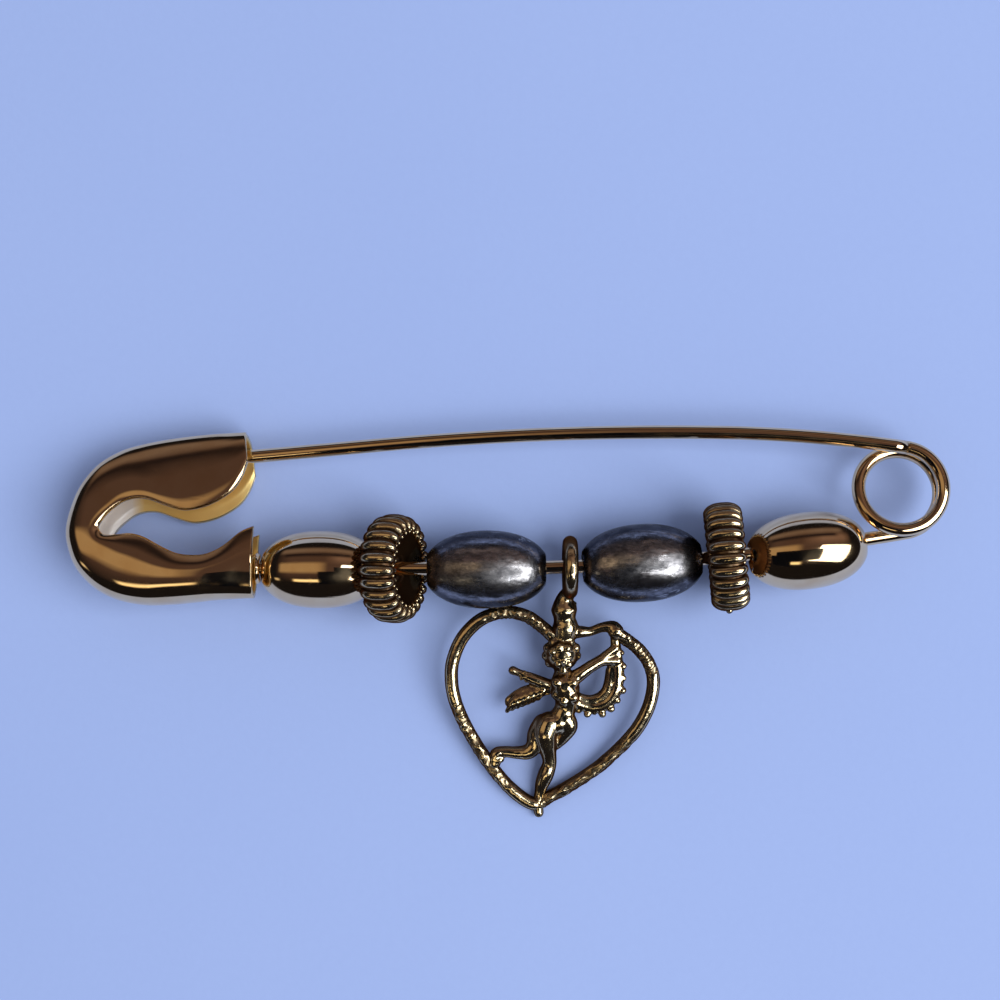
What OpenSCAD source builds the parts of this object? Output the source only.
/* [Wire] */
// Diameter of the pin's wire
wire_d = 1.18; // [0.9:0.02:1.3]
// Play of the bar in its seat in the cap
seat_play = 0.03; // [0.02:0.01:0.08]
// Gap between the turns of the coil
turn_gap = 0.25; // [0.1:0.05:0.6]
// Gap where the needle leaves the coil
joint_gap = 0.06; // [0.04:0.01:0.1]

/* [Bar and coil] */
// Straight length of the bar outside the cap
bar_straight = 19; // [17:0.2:22]
// Distance from the cap to the middle of the coil
coil_x = 55.9; // [52:0.1:60]
// Height of the middle of the coil above the bar
coil_y = 6.7; // [6:0.05:8]
// Radius of the coil, measured to the middle of the wire
coil_r = 3.58; // [3.2:0.02:4.2]

/* [Needle] */
// Angle between the needle and the bar where it leaves the coil
needle_rise = 9; // [7:0.5:11]
// Radius of the needle's tight bend next to the coil
tight_r = 120; // [100:1:140]
// Angle of the tight bend
tight_turn = 7.7; // [6:0.1:8.5]
// Radius of the needle's long bend
wide_r = 268; // [240:1:300]
// Angle of the long bend
wide_turn = 6.3; // [5.5:0.1:7]
// Straight length of the needle, up to its taper
needle_straight = 11.4; // [9:0.2:12]
// Length of the tapered point
point_len = 3.4; // [2.5:0.1:4.5]
// Radius of the point's tip
tip_r = 0.08; // [0.05:0.01:0.15]
// Fall of the needle from the coil to the cap, in degrees
needle_fall = 1.2; // [0.6:0.1:1.6]

/* [Cap] */
// Length of the cap along the bar
cap_len = 16; // [15:0.2:19]
// Depth of the cap through both faces
cap_depth = 5.6; // [5:0.1:6.4]
// Thickness of the cap's sheet
cap_wall = 0.6; // [0.4:0.05:0.8]
// Height of the cap's top edge above the needle at the mouth
cap_cover = 1.98; // [1.7:0.02:2.8]
// How far the cap reaches below the bar's axis
cap_drop = 3.25; // [2.8:0.05:3.8]
// Height of the middle of the cap above the bar's plane
cap_lift = 0.5; // [0.3:0.1:0.9]
// Length of the bar held in the cap
bar_grip = 3.6; // [2.6:0.1:4]
// Radius of the crimped neck round the bar at the cap's end
neck_r = 1.35; // [1.1:0.05:1.6]
// How far the neck reaches along the bar
neck_len = 0.58; // [0.5:0.02:0.6]

/* [Oval beads] */
// Length of a gold bead
gold_len = 10.1; // [9:0.1:10.2]
// Length of a silver bead
silver_len = 10.4; // [9:0.1:10.5]
// Diameter of a gold bead
gold_d = 6.7; // [5.6:0.1:7.2]
// Diameter of a silver bead
silver_d = 6.76; // [5.6:0.02:7.2]
// Clearance between the bar and a bead's bore, on radius
bore_play = 0.45; // [0.3:0.05:0.6]
// How far the left beads have slid to the charm's side of the bar
bead_slide = 0.1; // [0:0.05:0.3]
// How far the bead beside the coil has slid to the charm's side
end_bead_slide = 0.3; // [0:0.05:0.3]
// Clearance left where a bead's bore rests on the bar
rest_play = 0.02; // [0.01:0.01:0.04]
// Squareness of a gold bead's outline
gold_square = 2.35; // [2.1:0.05:2.8]
// Squareness of a silver bead's outline
silver_square = 2.15; // [2.1:0.05:3]

/* [Ribbed rings] */
// Outer diameter of a ribbed ring over its ribs
ring_d = 9.46; // [8.6:0.02:10]
// Width of a ribbed ring
ring_w = 3.4; // [3:0.1:3.6]
// Number of ribs round a ring
ribs = 24; // [20:1:28]
// Depth of the grooves between the ribs
rib_depth = 0.34; // [0.2:0.02:0.5]
// Radius of the hole in a ring's web
ring_hole_r = 1.2; // [1.15:0.01:1.35]
// Thickness of a ring's web
web_t = 0.9; // [0.7:0.1:1.1]
// Lean of the left ring on the bar, in degrees
ring_lean = 20; // [14:1:22]
// Lean of the right ring on the bar, in degrees
right_ring_lean = 8; // [0:1:12]

/* [Spacing along the bar] */
// Gap between the cap and the first bead
first_gap = 0.7; // [0.4:0.1:1.2]
// Distance from a gold bead's end to the middle of its ring
ring_seat = 1.36; // [1.3:0.02:1.8]
// Distance from the middle of the left ring to the silver bead
left_ring_to_silver = 2.75; // [2.65:0.05:3.2]
// Distance from the left silver bead to the bail
bail_left_gap = 2.05; // [1.6:0.05:2.4]
// Distance from the bail to the right silver bead
bail_right_gap = 1.0; // [0.95:0.05:1.6]
// Distance from the right silver bead to the middle of its ring
silver_to_right_ring = 2.05; // [1.95:0.05:2.4]
// Distance from the middle of the right ring to its gold bead
right_ring_to_gold = 2.1; // [2.0:0.05:2.6]

/* [Charm] */
// Width of the heart, measured to the middle of its frame
heart_w = 17.6; // [15:0.1:19]
// Distance from the middle of the bail to the toe
charm_len = 21.6; // [20:0.2:24]
// Radius of the heart frame's wire
frame_r = 0.54; // [0.45:0.03:0.7]
// Radius of the bail, measured to the middle of its wire
bail_r = 2.1; // [1.9:0.1:2.6]
// Radius of the bail's wire
bail_wire_r = 0.68; // [0.5:0.02:0.74]
// Radius of the figure's head
head_r = 1.72; // [1.4:0.02:1.9]
// Radius of the thin limbs of the figure and its bow
limb_r = 0.45; // [0.38:0.01:0.55]

/* [Hidden] */

GOLD = "goldenrod";
CAST_GOLD = "darkgoldenrod";
SILVER = "slategray";

wire_r = wire_d / 2;

// The bar's bend runs tangent from its straight length into the coil
bend_run = coil_x - bar_straight;
bend_turn = 2 * atan2(coil_y - coil_r, bend_run);
bend_r = bend_run / sin(bend_turn) + coil_r;

// The coil runs from the bar, right round and up to the needle
needle_at = 90 - needle_rise;
bar_at = bend_turn - 90;
last_sweep = needle_at - bar_at;
half_drop = (wire_d + turn_gap) / 2;
coil_tilt = asin(half_drop / (2 * coil_r));
coil_top = half_drop * (2.5 - cos(last_sweep) / 2);

// The needle's route in the pin's plane, from the coil to the point
function on_circle(r, a) = [r * cos(a), r * sin(a)];
needle_from = [coil_x, coil_y] + on_circle(coil_r, needle_at);
tight_from = needle_at;
wide_from = tight_from + tight_turn;
straight_from = wide_from + wide_turn;
tight_mid = needle_from - on_circle(tight_r, tight_from);
wide_start = tight_mid + on_circle(tight_r, wide_from);
wide_mid = wide_start - on_circle(wide_r, wide_from);
straight_start = wide_mid + on_circle(wide_r, straight_from);
straight_way = [cos(straight_from + 90), sin(straight_from + 90)];
// Where the needle crosses the plane of the cap's right end
mouth_y = straight_start.y - straight_start.x * straight_way.y / straight_way.x;
needle_peak = [wide_mid.x, wide_mid.y + wide_r];

function needle_height(x) = coil_top - (needle_from.x - x) * sin(needle_fall);

// The cap's lobes in the pin's plane. Each row is a section, from the mouth round to the bar:
// outer edge along and across, inner edge along and across, half depth.
// Along is a share of the cap's length, across is a share of the cap's height above its foot.
cap_rows = [
    [0.050, 1.000, 0.025, 0.800, 0.90],
    [0.130, 0.998, 0.050, 0.710, 0.93],
    [0.215, 0.994, 0.092, 0.628, 0.95],
    [0.305, 0.986, 0.154, 0.574, 0.96],
    [0.400, 0.974, 0.244, 0.530, 0.97],
    [0.505, 0.956, 0.348, 0.508, 0.98],
    [0.610, 0.930, 0.445, 0.540, 0.99],
    [0.720, 0.890, 0.562, 0.582, 1.00],
    [0.836, 0.812, 0.662, 0.575, 1.00],
    [0.922, 0.696, 0.744, 0.500, 1.00],
    [0.972, 0.574, 0.799, 0.438, 1.00],
    [1.000, 0.432, 0.825, 0.396, 1.00],
    [0.988, 0.318, 0.789, 0.352, 1.00],
    [0.938, 0.196, 0.724, 0.366, 1.00],
    [0.842, 0.095, 0.638, 0.374, 0.99],
    [0.720, 0.030, 0.562, 0.358, 0.98],
    [0.574, 0.000, 0.461, 0.298, 0.96],
    [0.434, 0.003, 0.381, 0.274, 0.93],
    [0.300, 0.016, 0.250, 0.290, 0.88],
    [0.220, 0.026, 0.184, 0.310, 0.84],
    [0.130, 0.032, 0.123, 0.356, 0.80],
    [0.060, 0.036, 0.050, 0.425, 0.76],
    [-0.022, 0.038, -0.022, 0.450, 0.72]
];
// The rows from the mouth to here are the nose
nose_row = 8;
// The chamber stops at this row, and the rest is crimped on the bar
grip_row = 19;
cap_top_y = mouth_y + cap_cover;
cap_h = cap_top_y + cap_drop;
// Across the section: distance in from the outer edge, and half depth there, as shares
cap_skin = [
    [1.00, 0.84], [0.90, 0.92], [0.72, 0.985], [0.48, 1.00], [0.26, 0.94],
    [0.12, 0.79], [0.035, 0.50], [0.00, 0.00]
];
skin_last = 2 * (len(cap_skin) - 1);

function row_outer(k) = [-cap_rows[k][0] * cap_len, cap_rows[k][1] * cap_h - cap_drop];
function row_inner(k) = [-cap_rows[k][2] * cap_len, cap_rows[k][3] * cap_h - cap_drop];
function row_half(k) = cap_rows[k][4] * cap_depth / 2;
function skin_share(i) = i < len(cap_skin) ? cap_skin[i] : cap_skin[skin_last - i];
function skin_side(i) = i < len(cap_skin) ? -1 : 1;
// A point of the skin: row k, place i round the section, taken in by a wall
function skin_point(k, i, wall) =
    let (
        width = norm(row_inner(k) - row_outer(k)),
        in = wall / width,
        share = skin_share(i)[0] * (1 - in) + in,
        place = row_outer(k) + (row_inner(k) - row_outer(k)) * share,
        half = skin_share(i)[1] * (row_half(k) - wall)
    )
    [place.x, place.y, cap_lift + skin_side(i) * half];

// A ring's half section: place along its axis and radius, from the hole to the rim
ring_half = [
    [web_t / 2, ring_hole_r],
    [web_t / 2, ring_d * 0.30],
    [ring_w * 0.36, ring_d * 0.325],
    [ring_w * 0.49, ring_d * 0.36],
    [ring_w * 0.50, ring_d * 0.40],
    [ring_w * 0.44, ring_d * 0.452],
    [ring_w * 0.27, ring_d * 0.488],
    [0, ring_d * 0.50]
];
ring_half_last = len(ring_half) - 1;
ring_loop = concat(
    [for (p = ring_half) p],
    [for (i = [ring_half_last - 1:-1:0]) [-ring_half[i].x, ring_half[i].y]]
);
// The ribs fade in between these shares of the ring's diameter
rib_from = 0.325;
rib_full = 0.395;
function ring_reach(lean) = max([for (p = ring_loop) p.y * cos(lean) + abs(p.x) * sin(lean)]);

// The rings stand on the surface and the bar rests in their holes
function hole_room(lean) = ring_hole_r * cos(lean) - web_t / 2 * sin(lean) - wire_r / cos(lean);
left_ring_z = ring_reach(ring_lean);
right_ring_z = ring_reach(right_ring_lean);

// Places along the bar, measured from the cap
gold_left_s = first_gap + gold_len / 2;
ring_left_s = gold_left_s + gold_len / 2 + ring_seat;
silver_left_s = ring_left_s + left_ring_to_silver + silver_len / 2;
bail_s = silver_left_s + silver_len / 2 + bail_left_gap;
silver_right_s = bail_s + bail_right_gap + silver_len / 2;
ring_right_s = silver_right_s + silver_len / 2 + silver_to_right_ring;
gold_right_s = ring_right_s + right_ring_to_gold + gold_len / 2;

function bend_angle(s) = max(0, (s - bar_straight) / bend_r) * 180 / PI;
function bar_point(s) = s < bar_straight ? [s, 0]
    : [bar_straight + bend_r * sin(bend_angle(s)), bend_r * (1 - cos(bend_angle(s)))];

// The pin leans on the lowest point of the cap's back
function touch_angle(p, z) = asin(min(1, z / norm([p.y, p.z]))) + atan2(p.z, p.y);
function lie_angle(z) = min([for (k = [0:nose_row]) for (i = [0:len(cap_skin) - 1])
    touch_angle(skin_point(k, i, 0), z)]);

// The bar rests in the ring that carries it higher
left_rest = left_ring_z - hole_room(ring_lean) + rest_play;
right_rest = right_ring_z - hole_room(right_ring_lean) + rest_play;
bar_z = max(left_rest, right_rest + bar_point(ring_right_s).y * sin(lie_angle(left_rest)));
lie_tilt = lie_angle(bar_z);

// The charm hangs by its bail and lies down to its toe
bail_play = 0.03;
bail_z = bar_z + wire_r - bail_r + bail_wire_r + bail_play;
toe_r = 0.75 * frame_r;
toe_v = 1.027;
charm_slope = asin((bail_z - frame_r) / charm_len);
bail_shift = 0.08;

// The heart frame's middle line: share of its width from the bail, share of the charm's length down
heart_line = [
    [-0.12, 0.27], [-0.205, 0.21], [-0.315, 0.19], [-0.435, 0.217], [-0.53, 0.29],
    [-0.58, 0.385], [-0.587, 0.47], [-0.57, 0.55], [-0.53, 0.635], [-0.475, 0.72],
    [-0.40, 0.815], [-0.30, 0.915], [-0.18, 0.985], [-0.09, 0.955], [0.125, 0.835],
    [0.30, 0.70], [0.385, 0.59], [0.418, 0.49], [0.402, 0.41], [0.345, 0.34],
    [0.25, 0.285]
];
heart_steps = 2;

// Middle of the whole brooch, so that it stands over the origin
left_x = -cap_len;
right_x = coil_x + coil_r + wire_r;
top_y = needle_peak.y * cos(lie_tilt) + needle_height(needle_peak.x) * sin(lie_tilt) + wire_r;
bottom_y = bail_shift - toe_v * charm_len * cos(charm_slope) - toe_r;
mid = [(left_x + right_x) / 2, (top_y + bottom_y) / 2];

SMOOTH = 48;
ARC_STEPS = 24;
splice_wall = 0.004;
splice_len = 0.2;

module in_frame() translate([-mid.x, -mid.y, 0]) children();

// The pin's own plane, leaning down about the bar on the needle's side
module in_pin_plane() in_frame() translate([0, 0, bar_z]) rotate([-lie_tilt, 0, 0]) children();

// A place beside the bar at a height of its own; the child's axis is the bar's
module on_bar(s, slide, z) {
    p = bar_point(s);
    turn = bend_angle(s);
    in_frame() translate([p.x, p.y * cos(lie_tilt) - slide, z])
        rotate([0, asin(sin(turn) * sin(lie_tilt)), atan2(sin(turn) * cos(lie_tilt), cos(turn))])
            children();
}

module wire_arc(r, sweep) rotate_extrude(angle = sweep, $fn = ARC_STEPS * 360 / sweep)
    translate([r, 0]) circle(r = wire_r, $fn = SMOOTH);

// Faces between two neighbouring rows of a grid of points
function strip(a, b, n) = [for (i = [0:n - 1]) each [
    [a + i, a + i + 1, b + i + 1], [a + i, b + i + 1, b + i]
]];

// Faces that close one section of the cap, from its inner edge out to its outer edge
function lid(start) = concat(
    [for (i = [0:len(cap_skin) - 3]) each [
        [start + i, start + i + 1, start + skin_last - i - 1],
        [start + i, start + skin_last - i - 1, start + skin_last - i]
    ]],
    [[start + len(cap_skin) - 2, start + len(cap_skin) - 1, start + len(cap_skin)]]
);

module cap_shell() {
    rows = len(cap_rows);
    n = skin_last + 1;
    outer = [for (k = [0:rows - 1]) for (i = [0:skin_last]) skin_point(k, i, 0)];
    inner = [for (k = [0:grip_row]) for (i = [0:skin_last]) skin_point(k, i, cap_wall)];
    base = len(outer);
    grip_o = grip_row * n;
    grip_i = base + grip_row * n;
    grip_next = (grip_row + 2) * n - 1;
    faces = concat(
        [for (k = [0:rows - 2]) each strip(k * n, (k + 1) * n, skin_last)],
        [for (k = [0:grip_row - 1]) each strip(base + (k + 1) * n, base + k * n, skin_last)],
        strip(base, 0, skin_last),
        [for (k = [0:grip_row - 1]) each [
            [k * n, (k + 1) * n, base + (k + 1) * n], [k * n, base + (k + 1) * n, base + k * n],
            [(k + 1) * n - 1, base + (k + 1) * n - 1, base + (k + 2) * n - 1],
            [(k + 1) * n - 1, base + (k + 2) * n - 1, (k + 2) * n - 1]
        ]],
        [for (f = lid(grip_i)) [f[0], f[2], f[1]]],
        [[grip_o, grip_next, grip_i], [grip_i, grip_next, grip_i + skin_last],
            [grip_i + skin_last, grip_next, grip_o + skin_last], [grip_o, grip_o + n, grip_next]],
        [for (k = [grip_row + 1:rows - 2]) each [
            [k * n, (k + 2) * n - 1, (k + 1) * n - 1], [k * n, (k + 1) * n, (k + 2) * n - 1]
        ]],
        lid((rows - 1) * n)
    );
    polyhedron(points = concat(outer, inner), faces = faces);
}

module cap() {
    color(GOLD) in_pin_plane() difference() {
        union() {
            cap_shell();
            rotate([0, 90, 0]) cylinder(h = neck_len, r = neck_r, $fn = SMOOTH);
        }
        translate([-bar_grip - cap_wall, 0, 0])
            rotate([0, 90, 0])
                cylinder(h = 2 * bar_grip, r = wire_r + seat_play, $fn = SMOOTH);
    }
}

module bar_wire() {
    color(GOLD) in_pin_plane() {
        translate([-bar_grip, 0, 0]) rotate([0, 90, 0])
            cylinder(h = bar_grip + bar_straight, r = wire_r, $fn = SMOOTH);
        translate([bar_straight, bend_r, 0]) rotate([0, 0, -90]) wire_arc(bend_r, bend_turn);
    }
}

// One half turn or less of the coil, counted down from the needle
module coil_part(turn, sweep) {
    side = turn % 2 == 0 ? 1 : -1;
    translate([coil_x, coil_y, coil_top - (turn + 0.5) * half_drop])
        rotate([0, 0, needle_at])
            rotate([0, -side * coil_tilt, 0]) {
                rotate([0, 0, side == 1 ? -sweep : 180 - sweep]) wire_arc(coil_r, sweep);
                if (turn > 0) translate([side * coil_r, 0, 0]) rotate([90, 0, 0]) splice();
            }
}

module spring_coil() {
    color(GOLD) in_pin_plane() {
        coil_part(0, 180);
        coil_part(1, 180);
        coil_part(2, last_sweep - joint_gap / coil_r * 180 / PI);
    }
}

// A bend of the wire from the origin, along X and turning left
module bend(r, turn) translate([0, r, 0]) rotate([0, 0, -90]) wire_arc(r, turn);

// Where the bend ends, with its direction along X
module after_bend(r, turn) translate([r * sin(turn), r * (1 - cos(turn)), 0])
    rotate([0, 0, turn]) children();

// A hair-thin sleeve over the place where two stretches of the wire meet
module splice() cylinder(h = splice_len, r = wire_r + splice_wall, center = true, $fn = SMOOTH);

module needle() {
    color(GOLD) in_pin_plane() translate([needle_from.x, needle_from.y, coil_top])
        rotate([0, -needle_fall, 0]) rotate([0, 0, 180 - needle_rise]) {
            translate([joint_gap, 0, 0]) bend(tight_r, tight_turn);
            translate([joint_gap, 0, 0]) after_bend(tight_r, tight_turn) {
                rotate([0, 90, 0]) splice();
                bend(wide_r, wide_turn);
                after_bend(wide_r, wide_turn) rotate([0, 90, 0]) {
                    splice();
                    cylinder(h = needle_straight, r = wire_r, $fn = SMOOTH);
                    translate([0, 0, needle_straight])
                        cylinder(h = point_len, r1 = wire_r, r2 = tip_r, $fn = SMOOTH);
                }
            }
        }
}

// An oval bead along X, drilled for the bar
module oval_bead(d, length, square) {
    steps = 20;
    bore_r = wire_r + bore_play;
    arc = [for (i = [1:steps - 1])
        let (a = 180 * i / steps, c = cos(a), s = sin(a))
        [d / 2 * pow(s, 2 / square), sign(c) * length / 2 * pow(abs(c), 2 / square)]];
    profile = concat([[bore_r, length / 2]], [for (p = arc) if (p.x > bore_r) p], [[bore_r, -length / 2]]);
    rotate([0, 90, 0]) rotate_extrude($fn = SMOOTH) polygon(profile);
}

module bead_on_bar(s, slide, d, length, square) {
    bow_room = pow(length / 2, 2) / (2 * bend_r);
    drop = sqrt(pow(bore_play - rest_play - bow_room, 2) - pow(slide, 2));
    on_bar(s, slide, bar_z - bar_point(s).y * sin(lie_tilt) - drop) oval_bead(d, length, square);
}

module gold_bead(s, slide) color(GOLD) bead_on_bar(s, slide, gold_d, gold_len, gold_square);
module gold_bead_left() gold_bead(gold_left_s, bead_slide);
module gold_bead_right() gold_bead(gold_right_s, end_bead_slide);

module silver_bead(s, slide) color(SILVER) bead_on_bar(s, slide, silver_d, silver_len, silver_square);
module silver_bead_left() silver_bead(silver_left_s, bead_slide);
module silver_bead_right() silver_bead(silver_right_s, 0);

// A ring along X whose outer half is pressed into ribs
module ribbed_ring() {
    round_steps = 4 * ribs;
    n = len(ring_loop);
    points = [for (j = [0:round_steps - 1]) for (p = ring_loop)
        let (
            a = 360 * j / round_steps,
            groove = j % 4 == 0 ? 1 : j % 4 == 2 ? 0 : 0.25,
            share = max(0, min(1, (p.y / ring_d - rib_from) / (rib_full - rib_from))),
            r = p.y - groove * share * rib_depth
        )
        [p.x, r * cos(a), r * sin(a)]];
    faces = [for (j = [0:round_steps - 1]) for (i = [0:n - 1])
        let (
            a = j * n,
            b = ((j + 1) % round_steps) * n,
            k = (i + 1) % n
        )
        each [[a + i, b + i, b + k], [a + i, b + k, a + k]]];
    polyhedron(points = points, faces = faces);
}

module ribbed_ring_left() {
    color(CAST_GOLD) on_bar(ring_left_s, 0, left_ring_z) rotate([0, -ring_lean, 0]) ribbed_ring();
}

module ribbed_ring_right() {
    color(CAST_GOLD) on_bar(ring_right_s, 0, right_ring_z) rotate([0, -right_ring_lean, 0]) ribbed_ring();
}

// A place on the charm, as shares: across the heart's width, down the charm's length, up in head radii
function at(u, v, z = 0) = [u * heart_w, -v * charm_len, z * head_r];

// A smooth line through the given points
function smooth_line(p, steps) = [for (i = [0:len(p) - 2]) for (j = [0:steps - 1])
    let (
        t = j / steps,
        a = p[max(0, i - 1)],
        b = p[i],
        c = p[i + 1],
        d = p[min(len(p) - 1, i + 2)]
    )
    0.5 * (2 * b + (c - a) * t + (2 * a - 5 * b + 4 * c - d) * t * t + (3 * b - a - 3 * c + d) * t * t * t)];

// A tube of even radius along a flat line of points
module tube(line, r) {
    sides = 8;
    last = len(line) - 1;
    points = [for (i = [0:last])
        let (
            way = line[min(last, i + 1)] - line[max(0, i - 1)],
            across = [-way.y, way.x, 0] / norm([way.x, way.y])
        )
        for (k = [0:sides - 1])
            line[i] + across * r * cos(360 * k / sides) - [0, 0, r * sin(360 * k / sides)]];
    faces = concat(
        [for (i = [0:last - 1]) for (k = [0:sides - 1])
            let (a = i * sides, b = a + sides, m = (k + 1) % sides)
            each [[a + k, a + m, b + m], [a + k, b + m, b + k]]],
        [[for (k = [sides - 1:-1:0]) k]],
        [[for (k = [0:sides - 1]) last * sides + k]]
    );
    polyhedron(points = points, faces = faces);
}

// A chain of blended balls, each a place and a radius as a share of the size
module limb(rows, size = head_r) {
    for (i = [0:len(rows) - 2]) hull() {
        translate(rows[i][0]) sphere(r = rows[i][1] * size, $fn = 10);
        translate(rows[i + 1][0]) sphere(r = rows[i + 1][1] * size, $fn = 10);
    }
}

// A small ball, its radius a share of the head's
module ball(place, share) translate(place) sphere(r = share * head_r, $fn = 8);

module bail() {
    rotate([0, 90, 0]) rotate_extrude($fn = 24)
        translate([bail_r, 0]) circle(r = bail_wire_r, $fn = 8);
    limb([
        [[0, -bail_r, 0], 1],
        [at(-0.032, 0.185), 1.59],
        [at(-0.03, 0.25), 1.39],
        [at(-0.05, 0.34), 1.77]
    ], bail_wire_r);
}

module heart_frame() {
    tube(smooth_line([for (p = heart_line) at(p[0], p[1])], heart_steps), frame_r);
}

module figure() {
    // Head and curls
    translate(at(-0.05, 0.365, 0.09)) sphere(r = head_r, $fn = 16);
    for (a = [0:40:320]) ball(at(-0.05, 0.361, 0.52) + 0.75 * head_r * [cos(a), sin(a), 0], 0.24);
    // Trunk from the neck to the hips
    limb([
        [at(-0.045, 0.43, 0.06), 0.41],
        [at(-0.03, 0.487, 0.06), 0.67],
        [at(-0.03, 0.55, 0.06), 0.55],
        [at(-0.028, 0.61, 0.09), 0.47],
        [at(-0.08, 0.675, 0.06), 0.73]
    ]);
    limb([[at(-0.07, 0.675), 0.55], [at(-0.01, 0.655, 0.06), 0.35], [at(-0.008, 0.695), 0.23]]);
    // Standing leg down to the toe
    limb([
        [at(-0.115, 0.69, 0.09), 0.64],
        [at(-0.112, 0.75, 0.06), 0.47],
        [at(-0.103, 0.81, 0.06), 0.32],
        [at(-0.13, 0.87), 0.32],
        [at(-0.15, 0.93), 0.26],
        [at(-0.155, toe_v), toe_r / head_r]
    ]);
    // Raised leg, with its foot on the frame
    limb([
        [at(-0.12, 0.70, -0.06), 0.55],
        [at(-0.185, 0.762, -0.06), 0.44],
        [at(-0.27, 0.762), 0.32],
        [at(-0.35, 0.776), 0.29],
        [at(-0.37, 0.81), 0.29]
    ]);
    // Arm with the arrow
    limb([
        [at(-0.01, 0.465, 0.23), 0.38],
        [at(0.06, 0.425, 0.29), 0.32],
        [at(0.235, 0.37, 0.12), 0.24]
    ]);
}

module bow() {
    limb([
        [at(0.0, 0.315), 1],
        [at(0.06, 0.26), 1],
        [at(0.144, 0.252), 1],
        [at(0.215, 0.262), 1.35],
        [at(0.246, 0.345), 1],
        [at(0.262, 0.43), 1],
        [at(0.25, 0.52), 1],
        [at(0.195, 0.58), 1],
        [at(0.09, 0.6), 1],
        [at(-0.03, 0.562), 1]
    ], limb_r);
    for (p = [[0.285, 0.425], [0.285, 0.475], [0.278, 0.525], [0.215, 0.60], [0.15, 0.618], [0.08, 0.622]])
        ball(at(p[0], p[1], 0.09), 0.2);
}

module wings() {
    limb([
        [at(-0.075, 0.50), 0.35],
        [at(-0.15, 0.475), 0.23],
        [at(-0.235, 0.452), 0.21],
        [at(-0.295, 0.43), 0.24]
    ]);
    limb([
        [at(-0.075, 0.515), 0.35],
        [at(-0.16, 0.53), 0.29],
        [at(-0.245, 0.545), 0.4],
        [at(-0.305, 0.552), 0.29]
    ]);
    for (i = [0:3]) ball(at(-0.15 - 0.045 * i, 0.525 + 0.006 * i, 0.2), 0.23);
    for (i = [0:2]) ball(at(-0.16 - 0.05 * i, 0.474 - 0.014 * i, 0.13), 0.19);
}

module heart_charm() {
    color(CAST_GOLD) in_frame() translate([bar_point(bail_s).x, bail_shift, bail_z])
        rotate([charm_slope, 0, 0]) {
            bail();
            heart_frame();
            figure();
            bow();
            wings();
        }
}

cap();
bar_wire();
spring_coil();
needle();
gold_bead_left();
ribbed_ring_left();
silver_bead_left();
heart_charm();
silver_bead_right();
ribbed_ring_right();
gold_bead_right();
